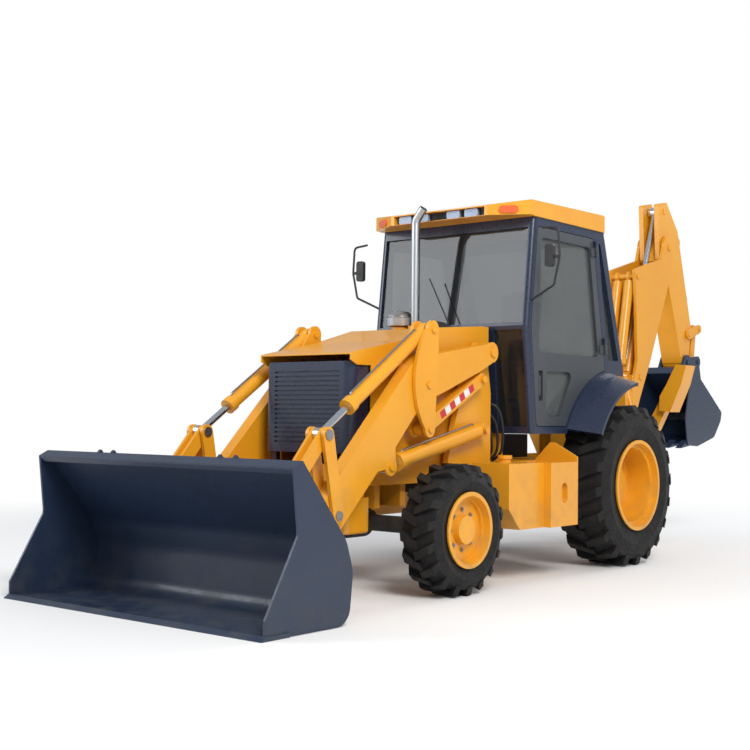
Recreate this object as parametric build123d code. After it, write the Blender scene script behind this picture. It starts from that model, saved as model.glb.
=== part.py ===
from build123d import *
import os
from math import asin, atan2, cos, degrees, hypot, radians, sin, sqrt

os.makedirs("parts", exist_ok=True)

# Backhoe loader in transport pose: loader bucket on the ground, boom folded upright.
# Millimetres. X points to the machine's left, Y to its rear, Z up from the ground.
# All places are given behind the front axle; the finished model is moved forward
# by middle_y, so that its origin lies on the ground at the middle of its length.
middle_y = 1770.6

pin_gap = 0.3       # radius of a bore over its pin
side_gap = 5.0      # free space beside a moving plate
seat_gap = 0.3      # between pieces that lie on each other

# wheels
wheelbase = 2387.0
wheel_table = [
    # name, axle behind the front axle, tyre radius, bead radius, tyre width, track plane, lugs a side, lug depth
    ("front", 0.0, 444.0, 240.0, 300.0, 880.0, 18, 26.0),
    ("rear", wheelbase, 655.0, 352.0, 440.0, 812.0, 20, 34.0),
]
kingpin_x = 700.0
kingpin_radius = 24.0

# chassis
rail_inner_x = 330.0
rail_outer_x = 410.0
rail_bottom_z = 725.0
rail_top_z = 868.0
rail_front_y = -500.0
rail_rear_y = 3300.0
tower_inner_x = 446.0
tower_outer_x = 494.0

box_inner_x = 620.0         # step boxes

tow_eye_y = -665.0
tow_eye_z = 520.0
tow_eye_radius = 18.0
tow_eye_plate = 40.0
tie_down = (575.0, 615.0)   # to the side, above the ground
tie_down_radius = 20.0
rear_plate_thick = 50.0

# loader linkage: pins as (behind the front axle, above the ground)
loader_plane_x = 553.0      # middle of each arm
arm_width = 96.0
arm_pivot = (875.0, 1683.0)
lever_pivot = (48.0, 1420.0)
lever_top = (95.0, 1809.0)
lever_bottom = (65.0, 1110.0)
link_pivot = (759.0, 1479.0)
lift_base = (800.0, 1105.0)
lift_lug = (-328.0, 862.0)
bucket_pivot = (-1235.0, 300.0)
guide_pivot = (-892.0, 566.0)
guide_top = (-995.0, 1080.0)
bucket_lug = (-1380.0, 640.0)
side_plate = 25.0           # lever, guide and ear plates
lift_pocket = 36.0          # half width of the arm's pocket round the lift cylinder's eye
guide_shaft = (88.0, 50.0)  # outer and inner radius of the shaft across at the guide links
hinge_shaft = (70.0, 30.0)  # the same at the bucket's hinge
link_pin_radius = 20.0
main_pin_radius = 27.0

# loader bucket
bucket_width = 2315.0
bucket_wall = 16.0

# engine hood and grille
hood_half_width = 420.0
hood_front_y = -545.0
hood_rear_y = 1085.0
hood_wall = 8.0
grille_front_y = -520.0

# cab
cab_half_width = 745.0
cab_wall = 50.0
cab_base_z = 1075.0
cab_top_z = 2738.0
arch_centre = (2500.0, 700.0)
arch_radius = 866.0
arch_inner_x = 560.0
fender_outer_x = 1010.0
fender_outer_radius = 800.0
low_window_x = 430.0
cab_corner = 40.0           # radius of the cab's front posts
glass = 6.0
door_gap = 6.0
door_thickness = 40.0

# backhoe
swing_y = 3600.0
boom_foot = (3860.0, 1080.0)
boom_nose = (4730.0, 2935.0)
boom_lug = (4050.0, 2580.0)
boom_ram_foot = (3800.0, 1390.0)
boom_ram_x = 60.0           # two cylinders side by side
dipper_ram_base = (4110.0, 1600.0)
dipper_top = (4700.0, 3300.0)
dipper_end = (5185.0, 1790.0)
bucket_ram_base = (5092.0, 3032.0)
tipping_pivot = (5235.0, 2080.0)
tipping_end = (5475.0, 2150.0)
hoe_lug = (5430.0, 1800.0)
boom_half_width = 150.0
boom_plate = 30.0
dipper_half_width = 108.0
hoe_pin_radius = 28.0
hoe_bucket_width = 600.0

# stabilisers: pins as (to the side, above the ground)
stabiliser_y = 3430.0
leg_pivot = (420.0, 690.0)
leg_end = (800.0, 1430.0)
leg_lug = (535.0, 905.0)
leg_ram_base = (330.0, 1540.0)
leg_half_depth = 45.0
pad_half_depth = 95.0
pad_sole = 22.0

nodes = {}


def outline(points, radius=0.0):
    face = make_face(Polyline(*points, close=True))
    return fillet(face.vertices(), radius) if radius else face


def curved(points):
    """Closed outline whose corners are given as (x, y, corner radius)."""
    face = make_face(Polyline(*[(x, y) for x, y, radius in points], close=True))
    for x, y, radius in points:
        if radius:
            face = fillet(face.vertices().sort_by_distance((x, y, 0))[0], radius)
    return face


def disc(point, radius):
    return Pos(*point) * Circle(radius)


def bar(p, q, end_p, end_q):
    """Flat link round the pins p and q, with its edges tangent to both ends."""
    along = atan2(q[1] - p[1], q[0] - p[0])
    lean = asin((end_p - end_q) / hypot(q[0] - p[0], q[1] - p[1]))
    corners = []
    for point, radius, side in ((p, end_p, 1), (q, end_q, 1), (q, end_q, -1), (p, end_p, -1)):
        angle = along + side * (radians(90) - lean)
        corners.append((point[0] + radius * cos(angle), point[1] + radius * sin(angle)))
    return make_face(Polyline(*corners, close=True)) + disc(p, end_p) + disc(q, end_q)


def across(face, x0, x1):
    """A side outline, drawn as (Y, Z), made a plate from x0 to x1."""
    return extrude(Plane.YZ.offset(min(x0, x1)) * face, amount=abs(x1 - x0), dir=(1, 0, 0))


def lengthwise(face, y0, y1):
    """A front outline, drawn as (X, Z), made a plate from y0 to y1."""
    return extrude(Plane.XZ.offset(-y0) * face, amount=y1 - y0, dir=(0, 1, 0))


def upright(face, z0, z1):
    """A plan outline, drawn as (X, Y), raised from z0 to z1."""
    return extrude(Pos(0, 0, z0) * face, amount=z1 - z0, dir=(0, 0, 1))


def block(x0, x1, y0, y1, z0, z1):
    return Pos((x0 + x1) / 2, (y0 + y1) / 2, (z0 + z1) / 2) * Box(x1 - x0, y1 - y0, z1 - z0)


def pin(point, x0, x1, radius):
    """A round pin along X through a point given as (Y, Z)."""
    return across(disc(point, radius), x0, x1)


def both(piece):
    """A left-hand piece and its mirror on the right."""
    return Compound(children=solids_of(piece) + solids_of(mirror(piece, about=Plane.YZ)))


def solids_of(piece):
    return list(piece.solids())


def group(*pieces):
    return Compound(children=[solid for piece in pieces for solid in solids_of(piece)])


def ram(base, tip, pin_dir, bore, engaged, barrel_radius, rod_radius, reach, eye, width, base_pin, tip_pin):
    """Barrel and rod of a cylinder from its base pin to its rod's eye, as two solids.

    The bore runs in from the barrel's mouth at reach, and the rod fills it for its engaged length."""
    start = Vector(*base)
    way = Vector(*tip) - start
    length = way.length
    place = Plane(origin=start, x_dir=pin_dir, z_dir=way)
    eye_turn = Rot(0, 90, 0)
    gland = 1.18 * barrel_radius
    barrel = Pos(0, 0, (barrel_radius + reach) / 2) * Cylinder(barrel_radius, reach - barrel_radius)
    barrel += Pos(0, 0, reach - 30) * Cylinder(gland, 60)
    barrel += eye_turn * Cylinder(eye, width)
    barrel += Pos(0, 0, barrel_radius * 0.75) * Box(width, 1.3 * barrel_radius, barrel_radius * 1.5)
    barrel -= Pos(0, 0, reach - bore / 2) * Cylinder(rod_radius + pin_gap, bore)
    barrel -= eye_turn * Cylinder(base_pin + pin_gap, 2 * width)
    rod_length = length - reach + engaged
    rod = Pos(0, 0, length - rod_length / 2) * Cylinder(rod_radius, rod_length)
    rod += Pos(0, 0, length) * eye_turn * Cylinder(eye, width)
    rod -= Pos(0, 0, length) * eye_turn * Cylinder(tip_pin + pin_gap, 2 * width)
    return place * barrel, place * rod


def side_point(point, x):
    return (x, point[0], point[1])


# wheels and axles

tyre_shoulder = 26.0        # crown radius over the shoulder's
bead_inset = 30.0           # bead inside the widest part, each side
bead_rise = 10.0            # side of the tyre over its seat
shoulder_inset = 22.0
lug_start = 14.0            # lugs pass the middle by this
lug_bevel = 30.0
tyre_sides = 36
rim_wall = 12.0
rim_flange = 16.0


def polygon_ring(stations, sides):
    """Closed solid through regular polygons round the X axis, given as (across, radius)."""
    sections = [Plane.YZ.offset(x) * RegularPolygon(radius, sides) for x, radius in stations]
    return loft(sections, ruled=True)


def make_tyre(radius, bead, width, lugs, lug_depth):
    """Tyre round the X axis at the origin, its lugs in two staggered rows of slanted bars."""
    crown = radius - lug_depth
    half = width / 2
    tread = half - shoulder_inset
    ring = polygon_ring([
        (-(half - bead_inset), bead + bead_rise), (-half, (bead + crown) / 2), (-tread, crown - tyre_shoulder),
        (0, crown), (tread, crown - tyre_shoulder), (half, (bead + crown) / 2),
        (half - bead_inset, bead + bead_rise)], tyre_sides)
    ring -= Rot(0, 90, 0) * Cylinder(bead, 2 * width)
    pitch = 360 / round(lugs)
    bar_width = 0.36 * radians(pitch) * radius
    skew = 0.62 * radians(pitch) * radius
    reach = half - 8
    base = radius - lug_depth - tyre_shoulder - 18
    # the highest corner lies where the bar's long edge meets the cut at the shoulder
    inner_edge = bar_width - skew / 2
    outer_edge = (skew + bar_width) / 2
    corner_share = (reach - lug_bevel + lug_start) / (reach + lug_start)
    corner_y = inner_edge + corner_share * (outer_edge - inner_edge)
    top = sqrt(radius ** 2 - corner_y ** 2)
    bars = []
    for side, start in ((1, 0.0), (-1, pitch / 2)):
        lug = make_face(Polyline(
            (-side * lug_start, -skew / 2), (-side * lug_start, bar_width - skew / 2),
            (side * reach, outer_edge), (side * reach, (skew - bar_width) / 2), close=True))
        lug = extrude(Pos(0, 0, base) * lug, amount=top - base, dir=(0, 0, 1))
        corner = make_face(Polyline(
            (side * (reach + 1), base), (side * (reach + 1), top + 1), (side * (reach - lug_bevel), top + 1),
            (side * (reach - lug_bevel), top), (side * reach, base), close=True))
        lug -= Pos(0, -2 * skew, 0) * extrude(Plane.XZ * corner, amount=4 * skew, dir=(0, 1, 0))
        for index in range(round(lugs)):
            bars.append(Rot(start + index * pitch, 0, 0) * lug)
    # one lug's highest corner stands on the ground
    return Rot(degrees(atan2(corner_y, top)) - 180, 0, 0) * (ring + bars)


def make_rim(bead, width, disc_in, hub_radius, hub_out, steps):
    """Rim, disc and hub round the X axis, with the outer face toward +X."""
    half = width / 2 - bead_inset + 26
    inner = bead - rim_wall
    drop = 0.86 * bead
    profile = [
        (-half, bead), (-half, bead + rim_flange), (-half + rim_wall, bead + rim_flange),
        (-half + rim_wall, bead), (half - rim_wall, bead), (half - rim_wall, bead + rim_flange),
        (half, bead + rim_flange), (half, inner), (half - steps, inner - 4),
        (half - steps, drop), (disc_in + rim_wall, drop), (disc_in + rim_wall, hub_radius),
        (hub_out, hub_radius - 6), (hub_out, 0), (disc_in - 40, 0), (disc_in - 40, hub_radius),
        (disc_in, hub_radius), (disc_in, drop), (-half + 30, inner), (-half, inner),
    ]
    return revolve(make_face(Polyline(*profile, close=True)), axis=Axis.X, revolution_arc=360)


front_disc_in = 0.18 * wheel_table[0][4]
rear_disc_in = -0.12 * wheel_table[1][4]
for name, axle_y, radius, bead, width, track, lugs, lug_depth in wheel_table:
    tyre = make_tyre(radius, bead, width, lugs, lug_depth)
    hub_out = width / 2 - 35 if name == "front" else 20
    disc_in = front_disc_in if name == "front" else rear_disc_in
    hub_radius = 0.42 * bead
    rim = make_rim(bead, width, disc_in, hub_radius, hub_out, 55)
    if name == "front":
        # the hub turns on the knuckle's spindle
        rim -= Pos(disc_in - 60, 0, 0) * Rot(0, 90, 0) * Cylinder(44 + pin_gap, 2 * 100)
    axle_z = radius
    for hand, side in (("left", 1), ("right", -1)):
        turn = Rot(0, 0, 0) if side > 0 else Rot(0, 0, 180)
        place = Pos(side * track, axle_y, axle_z) * turn
        nodes[f"{name}_tyre_{hand}"] = place * tyre
        nodes[f"{name}_rim_{hand}"] = place * rim

front_radius = wheel_table[0][2]
rear_radius = wheel_table[1][2]
front_track = wheel_table[0][5]
rear_track = wheel_table[1][5]

yoke_reach = 92.0           # height of the yoke's plates over the axle
yoke_plate = 30.0
knuckle_radius = 58.0
spindle_radius = 44.0
knuckle_half = yoke_reach - 0.5

knuckle = Pos(kingpin_x, 0, front_radius) * Cylinder(knuckle_radius, 2 * knuckle_half)
spindle_end = front_track + front_disc_in + 38
knuckle += across(disc((0, front_radius), spindle_radius), kingpin_x, spindle_end)
knuckle += across(disc((0, front_radius), 84), front_track + front_disc_in - 72, front_track + front_disc_in - 42)
knuckle += across(disc((0, front_radius), 60), kingpin_x, front_track + front_disc_in - 60)
knuckle -= Pos(kingpin_x, 0, front_radius) * Cylinder(kingpin_radius + pin_gap, 400)
nodes["front_knuckle_left"] = knuckle
nodes["front_knuckle_right"] = mirror(knuckle, about=Plane.YZ)

beam = block(0, 630, -58, 58, front_radius - 52, front_radius + 52)
beam += block(585, 630, -62, 62, front_radius - yoke_reach - yoke_plate, front_radius + yoke_reach + yoke_plate)
for side in (1, -1):
    plate_z = front_radius + side * (yoke_reach + yoke_plate / 2)
    beam += Pos(0, 0, plate_z) * (
        extrude(make_face(Polyline((600, -62), (kingpin_x, -62), (kingpin_x, 62), (600, 62), close=True))
                + Pos(kingpin_x, 0) * Circle(62), amount=yoke_plate / 2, both=True))
beam += Pos(kingpin_x, 0, front_radius) * Cylinder(kingpin_radius, 2 * (yoke_reach + yoke_plate))
housing = Pos(0, 0, front_radius) * Rot(90, 0, 0) * Cylinder(118, 190)
pivot_barrel = Pos(0, 0, front_radius + 150) * Rot(90, 0, 0) * Cylinder(52, 300)
front_axle = beam + mirror(beam, about=Plane.YZ) + housing + pivot_barrel
front_axle += block(-40, 40, -80, 80, front_radius + 60, front_radius + 150)
front_axle += Pos(0, 140, front_radius + 10) * Rot(90, 0, 0) * Cylinder(60, 110)
nodes["front_axle"] = front_axle

rear_hub_x = rear_track + rear_disc_in - 40
rear_tube = across(disc((wheelbase, rear_radius), 64), 0, rear_hub_x - 60)
rear_tube += across(disc((wheelbase, rear_radius), 130), rear_hub_x - 60, rear_hub_x - seat_gap)
rear_tube += block(rail_inner_x, rail_outer_x, wheelbase - 90, wheelbase + 90, rear_radius, rail_bottom_z)
rear_case = revolve(make_face(Polyline(
    (-230, 0), (-230, 66), (-150, 125), (-60, 172), (60, 172), (150, 125), (230, 66), (230, 0), close=True)),
    axis=Axis.X, revolution_arc=360)
rear_case = Pos(0, wheelbase, rear_radius) * rear_case
rear_case += Pos(0, wheelbase - 190, rear_radius) * Rot(90, 0, 0) * Cylinder(80, 160)
nodes["rear_axle"] = rear_tube + mirror(rear_tube, about=Plane.YZ) + rear_case

# chassis

rail = block(rail_inner_x, rail_outer_x, rail_front_y, rail_rear_y, rail_bottom_z, rail_top_z)
tower = outline([
    (470, 760), (1010, 760), (1010, 1380), (955, 1690), (930, 1760), (830, 1760), (700, 1560),
    (560, 1180), (470, 900)], 20)
tower = across(tower, tower_inner_x, tower_outer_x)
tower += block(rail_outer_x, tower_inner_x, 500, 980, rail_bottom_z, rail_top_z)
arm_outer_x = loader_plane_x + arm_width / 2
for point, radius in ((arm_pivot, main_pin_radius + 8), (link_pivot, main_pin_radius), (lift_base, main_pin_radius)):
    tower += pin(point, tower_outer_x - 5, arm_outer_x + 16, radius)
    tower += pin(point, tower_outer_x, loader_plane_x - arm_width / 2 - side_gap, radius + 26)
cross_table = [
    # from y, to y, bottom z, top z
    (-500, -440, rail_bottom_z, rail_top_z),
    (560, 640, rail_bottom_z + 20, rail_top_z - 20),
    (1500, 1580, rail_bottom_z + 20, rail_top_z - 20),
    (3240, 3300, rail_bottom_z, rail_top_z),
]
frame = rail + tower
for y0, y1, z0, z1 in cross_table:
    frame += block(0, rail_inner_x, y0, y1, z0, z1)
for y0 in (760, 1280):
    frame += block(rail_outer_x, box_inner_x - seat_gap, y0, y0 + 60, rail_bottom_z + 30, rail_top_z - 30)
for y0, z0 in ((1240, rail_top_z), (1960, rail_top_z)):
    frame += block(rail_inner_x + 10, rail_outer_x - 10, y0, y0 + 80, z0, cab_base_z)
axle_saddle = block(100, rail_inner_x, -175, -115, 560, rail_bottom_z + 60)
axle_saddle += block(0, 100, -175, -115, 640, rail_bottom_z + 60)
axle_saddle += mirror(axle_saddle, about=Plane.XZ)
frame += axle_saddle
frame = frame + mirror(frame, about=Plane.YZ)
for y0, y1 in ((-175, -115), (115, 175)):
    frame += block(-100, 100, y0, y1, front_radius + 90, rail_bottom_z)
frame -= Pos(0, 0, front_radius + 150) * Rot(90, 0, 0) * Cylinder(52 + pin_gap, 500)
counterweight = block(-440, 440, -610, -330, 410, 650)
counterweight = fillet(counterweight.edges().filter_by(Axis.Z), 60)
counterweight = fillet(counterweight.edges().group_by(Axis.Z)[0], 20)
counterweight += block(-rail_outer_x, rail_outer_x, -590, -380, 640, rail_bottom_z)
tow_eye = upright(Pos(0, tow_eye_y) * Circle(55) + Pos(0, (tow_eye_y - 600) / 2) * Rectangle(110, -600 - tow_eye_y),
                  tow_eye_z - tow_eye_plate / 2, tow_eye_z + tow_eye_plate / 2)
tow_eye -= Pos(0, tow_eye_y, tow_eye_z) * Cylinder(tow_eye_radius, 2 * tow_eye_plate)
nodes["chassis_frame"] = frame + counterweight + tow_eye

engine = block(-250, 250, -250, 660, 880, 1420) + block(-210, 210, 660, 1180, 620, 1040)
engine += block(-330, 330, -60, 0, 800, 880) + block(-200, 200, 1180, 2000, 870, 1060)
nodes["engine_block"] = engine

# hood, grille, exhaust

hood_side = outline([
    (hood_front_y, 1575), (hood_front_y, 1622), (-470, 1640), (20, 1735), (440, 1850), (1000, 1892),
    (hood_rear_y, 1892), (hood_rear_y, 1060), (560, rail_top_z + seat_gap), (-330, rail_top_z + seat_gap), (-330, 1545),
    (-480, 1545)])
hood_core = outline([
    (-700, 1400), (-700, 1580), (-470, 1628), (20, 1723), (440, 1838), (hood_rear_y - hood_wall, 1880),
    (hood_rear_y - hood_wall, 700), (-700, 700)])
hood = across(hood_side, -hood_half_width, hood_half_width)
hood = fillet(hood.edges().filter_by(Axis.X, reverse=True).group_by(Axis.Z)[-1], 4)
hood -= across(hood_core, -hood_half_width + hood_wall, hood_half_width - hood_wall)
grille_plan = outline([(-405, -340), (-405, grille_front_y), (405, grille_front_y), (405, -340)])
grille_plan = fillet(grille_plan.vertices().group_by(Axis.Y)[0], 70)
grille_low = 945.0
grille_high = 1570.0
grille = upright(grille_plan, grille_low, grille_high)
grille -= block(-370, 370, grille_front_y + 60, -339, grille_low + 30, grille_high - 30)
slat_count = 16
slat_pitch = (grille_high - grille_low - 110) / slat_count
for index in range(slat_count):
    z = grille_low + 55 + (index + 0.5) * slat_pitch
    grille -= block(-300, 300, grille_front_y - 1, grille_front_y + 12, z - 6, z + 6)
for side in (1, -1):
    grille += block(side * 340 - 30, side * 340 + 30, -490, -450, rail_top_z + seat_gap, grille_low + 10)
nodes["grille"] = grille

exhaust_x = -163.0
exhaust_y = 915.0
exhaust_radius = 34.0
route = FilletPolyline((exhaust_x, exhaust_y, 1840), (exhaust_x, exhaust_y, 2745),
                       (exhaust_x + 75, exhaust_y, 2838), radius=70)
tube = Circle(exhaust_radius) - Circle(exhaust_radius - 3)
exhaust = sweep(Plane(origin=(exhaust_x, exhaust_y, 1840), z_dir=(0, 0, 1)) * tube, path=route)

cleaner_profile = [(0, 1875), (45, 1875), (45, 1905), (100, 1915), (108, 1975), (90, 1990), (96, 2000),
                   (70, 2026), (18, 2034), (0, 2034)]
cleaner = revolve(Plane.XZ * make_face(Polyline(*cleaner_profile, close=True)), axis=Axis.Z)
cleaner_place = Pos(-300, 900, 0)
nodes["exhaust_and_precleaner"] = group(exhaust, cleaner_place * cleaner)
hood += Pos(exhaust_x, exhaust_y, 1890) * Cylinder(exhaust_radius + 24, 40)
hood += Pos(-300, 900, 1888) * Cylinder(66, 30)
hood -= Pos(exhaust_x, exhaust_y, 1890) * Cylinder(exhaust_radius + seat_gap, 200)
hood -= Pos(-300, 900, 1890) * Cylinder(45 + seat_gap, 60)
nodes["hood"] = hood

# cab

cab_front = [(1210, cab_base_z), (1125, 1900), (1220, cab_top_z)]
cab_side = outline(cab_front + [(2290, cab_top_z), (2640, 1600), (2640, cab_base_z)])
cab_inner = outline([
    (1210 + cab_wall, cab_base_z + cab_wall), (1125 + cab_wall, 1900), (1220 + cab_wall, cab_top_z + 1),
    (2290 - cab_wall, cab_top_z + 1), (2640 - cab_wall, 1600), (2640 - cab_wall, cab_base_z + cab_wall)])
arch = across(disc(arch_centre, arch_radius), arch_inner_x, cab_half_width + 1)
arch_cover = across(disc(arch_centre, arch_radius + cab_wall), arch_inner_x - cab_wall, cab_half_width - cab_wall)
arches = arch + mirror(arch, about=Plane.YZ)
inside = across(cab_inner, -cab_half_width + cab_wall, cab_half_width - cab_wall)
inside -= arch_cover + mirror(arch_cover, about=Plane.YZ)
cab = across(cab_side, -cab_half_width, cab_half_width)
front_edges = [edge for edge in cab.edges() if abs(edge.center().X) > cab_half_width - 1 and edge.center().Y < 1240]
cab = fillet(front_edges, cab_corner) - inside - arches

# door opening: front, top and rear edges, its foot following the wheel arch
hinge_low = (2322.0, 1700.0)
hinge_high = (2138.0, 2640.0)
door_hinge_x = cab_half_width + 16
door_face_x = cab_half_width + 0.5
door_edge = outline([(1262, 1135), (1182, 1895), (1268, 2665), (2115, 2665), (2318, 1620), (2318, 1135)], 35)
door_edge -= disc(arch_centre, arch_radius + 45)
opening = offset(door_edge, amount=door_gap, kind=Kind.INTERSECTION)
opening = across(opening, cab_half_width - cab_wall - 1, cab_half_width + 1)
cab -= opening + mirror(opening, about=Plane.YZ)

quarter = outline([(2372, 1680), (2205, 2640), (2235, 2640), (2555, 1680)], 8)
quarter_cut = across(quarter, cab_half_width - cab_wall - 1, cab_half_width + 1)
cab -= quarter_cut + mirror(quarter_cut, about=Plane.YZ)


def pane_front(z0, z1, x0, x1, y_shift, thick):
    """Slab along the cab's leaning front between two heights."""
    def front_at(z):
        (ya, za), (yb, zb) = (cab_front[0], cab_front[1]) if z <= 1900 else (cab_front[1], cab_front[2])
        return ya + (yb - ya) * (z - za) / (zb - za)
    face = outline([(front_at(z0) + y_shift, z0), (front_at(z1) + y_shift, z1),
                    (front_at(z1) + y_shift + thick, z1), (front_at(z0) + y_shift + thick, z0)])
    return across(face, x0, x1)


window_x = cab_half_width - cab_wall
windshield_hole = pane_front(1925, 2660, -window_x, window_x, -20, 100)
low_hole = pane_front(1130, 1870, low_window_x, window_x, -20, 100)
cab -= windshield_hole + low_hole + mirror(low_hole, about=Plane.YZ)
rear_hole = across(outline([(2250, 2640), (2380, 2640), (2700, 1660), (2560, 1660)]), -640, 640)
cab -= rear_hole

# fender: a sleeve leaning down toward its outer edge, swept round the wheel arch
fender_section = make_face(Polyline(
    (cab_half_width - 40, arch_radius + 16), (cab_half_width, arch_radius + 16), (fender_outer_x, fender_outer_radius), (fender_outer_x, fender_outer_radius - 26),
    (fender_outer_x - 10, fender_outer_radius - 26), (fender_outer_x - 10, fender_outer_radius - 10),
    (cab_half_width - 40, arch_radius - 12), close=True))
fender_start = 97.0
fender_sweep = 55.0
fender = revolve(fender_section, axis=Axis.X, revolution_arc=fender_sweep)
fender = Pos(0, *arch_centre) * Rot(fender_start, 0, 0) * fender

hinge_lean = Vector(0, hinge_high[0] - hinge_low[0], hinge_high[1] - hinge_low[1])
hinge_shares = (0.08, 0.92)
hinge_length = 90.0
knuckle_length = 40.0
for share in hinge_shares:
    hinge_place = Plane(origin=(door_hinge_x, hinge_low[0] + share * hinge_lean.Y, hinge_low[1] + share * hinge_lean.Z),
                        z_dir=hinge_lean, x_dir=(1, 0, 0))
    hinge_place = hinge_place * Pos(0, 0, hinge_length / 2 + seat_gap + knuckle_length / 2)
    leaf = hinge_place * (Cylinder(14, knuckle_length) + Pos(-11, 20, 0) * Box(14, 60, knuckle_length))
    cab += leaf + mirror(leaf, about=Plane.YZ)

mirror_y = 1150.0
mirror_rod_radius = 9.0
mirror_points = [
    (cab_half_width + seat_gap + 3.1, 1180, 2095), (961, mirror_y, 2192), (1009, mirror_y, 2404), (995, mirror_y, 2620),
    (858, mirror_y, 2633)]
mirror_start = Vector(*mirror_points[1]) - Vector(*mirror_points[0])
mirror_rod = sweep(Plane(origin=mirror_points[0], z_dir=mirror_start) * Circle(mirror_rod_radius),
                   path=FilletPolyline(*mirror_points, radius=35))
mirror_head = Pos(925, mirror_y, 2416) * fillet(Box(74, 34, 170).edges().filter_by(Axis.Y), 22)
mirror_arm = block(950, 1005, mirror_y - 8, mirror_y + 8, 2392, 2416)
nodes["cab_frame"] = cab + fender + mirror(fender, about=Plane.YZ)
nodes["mirrors"] = both(mirror_rod + mirror_head + mirror_arm)

glazing = [pane_front(1925, 2660, 1 - window_x, window_x - 1, 20, glass)]
glazing.append(pane_front(1130, 1870, low_window_x + 1, window_x - 1, 20, glass))
glazing.append(mirror(glazing[-1], about=Plane.YZ))
quarter_pane = across(quarter, cab_half_width - 25 - glass, cab_half_width - 25)
glazing += [quarter_pane, mirror(quarter_pane, about=Plane.YZ)]
rear_pane = outline([(2300 - 25, 2640), (2300 - 25 + glass, 2640), (2612 - 25 + glass, 1660), (2612 - 25, 1660)])
glazing.append(across(rear_pane, -639, 639))
nodes["cab_glass"] = group(*glazing)

# roof: plan and side outlines meet
roof_plan = outline([
    (-470, 985), (470, 985), (757, 1146), (757, 2290), (600, 2500), (-600, 2500), (-757, 2290), (-757, 1146)])
roof_side = outline([
    (985, 2742), (985, 2820), (1160, 2858), (2270, 2878), (2500, 2735), (2490, 2712), (2300, cab_top_z + seat_gap),
    (1200, cab_top_z + seat_gap), (1190, 2742)])
roof = across(roof_side, -760, 760) & upright(roof_plan, 2600, 2900)
roof -= block(-440, 440, 980, 1035, 2745, 2812)
nodes["cab_roof"] = roof
lamps = []
for x in (-345, -175, 130, 300):
    lamps.append(fillet(block(x - 62, x + 62, 1008, 1034.7, 2750, 2808).edges().filter_by(Axis.Y), 12))
amber = Pos(612, 1064, 2782) * Rot(0, 0, 29.3) * Rot(90, 0, 0) * extrude(SlotOverall(150, 56), amount=12, both=True)
rear_lamp = Pos(520, 2470, 2800) * Rot(90, 0, 0) * Cylinder(42, 50)
nodes["roof_lamps"] = group(*lamps, amber - roof, mirror(amber, about=Plane.YZ) - roof, both(rear_lamp - roof))


# doors
def make_door():
    panel = across(door_edge, door_face_x - door_thickness, door_face_x)
    upper = outline([(1290, 1700), (1315, 2590), (2060, 2590), (2215, 1700)], 45)
    lower = outline([(1400, 1210), (1400, 1560), (1800, 1560), (1600, 1210)], 40) - disc(
        arch_centre, arch_radius + 105)
    holes = across(upper, 600, 800) + across(lower, 600, 800)
    frame = panel - holes
    recess = block(cab_half_width - 24, cab_half_width + 5, 1290, 1350, 1330, 1560)
    frame -= recess
    grip = Pos(cab_half_width - 12, 1320, 1445) * fillet(Box(14, 22, 150).edges(), 5)
    grip += block(cab_half_width - 25, cab_half_width - 12, 1312, 1328, 1500, 1520)
    grip += block(cab_half_width - 25, cab_half_width - 12, 1312, 1328, 1370, 1390)
    frame += grip
    for share in hinge_shares:
        y = hinge_low[0] + share * hinge_lean.Y
        z = hinge_low[1] + share * hinge_lean.Z
        leaf_place = Plane(origin=(door_hinge_x, y, z), z_dir=hinge_lean, x_dir=(1, 0, 0))
        frame += leaf_place * (Cylinder(14, hinge_length) + Pos(-10.75, -40, 0) * Box(9.5, 80, 70))
    panes = across(upper, cab_half_width - 25 - glass, cab_half_width - 25)
    panes += across(lower, cab_half_width - 25 - glass, cab_half_width - 25)
    return group(frame, panes)


door = make_door()
for hand, side in (("left", 1), ("right", -1)):
    nodes[f"cab_door_{hand}"] = door if side > 0 else mirror(door, about=Plane.YZ)

floor_z = cab_base_z + cab_wall
seat = fillet(block(-250, 250, 1700, 2180, floor_z + 420, floor_z + 540).edges().filter_by(Axis.Z), 60)
seat += across(outline([(2080, floor_z + 500), (2200, floor_z + 500), (2290, 2300), (2180, 2300)], 40), -230, 230)
seat += block(-200, 200, 1780, 2120, floor_z, floor_z + 430)
nodes["operator_seat"] = seat
column = Plane(origin=(0, 1330, floor_z), z_dir=(0, 0.25, 1)) * Pos(0, 0, 385) * Cylinder(45, 740)
wheel_place = Plane(origin=(0, 1330 + 0.25 * 760, floor_z + 760), z_dir=(0, 0.25, 1))
column += wheel_place * Torus(190, 13)
column += wheel_place * Pos(0, 0, -10) * Cylinder(50, 40)
for turn in (90, 210, 330):
    column += wheel_place * Rot(0, 0, turn) * Pos(110, 0, 0) * Box(170, 24, 14)
column += block(-380, 380, 1240, 1340, 1420, 1560)
column += block(-500, -400, 1500, 2100, floor_z, floor_z + 420)
column += block(-400, 60, 1270, 1330, floor_z, 1560)
column += block(-500, -380, 1270, 2100, floor_z, floor_z + 60)
nodes["cab_controls"] = column

# step boxes

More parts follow.
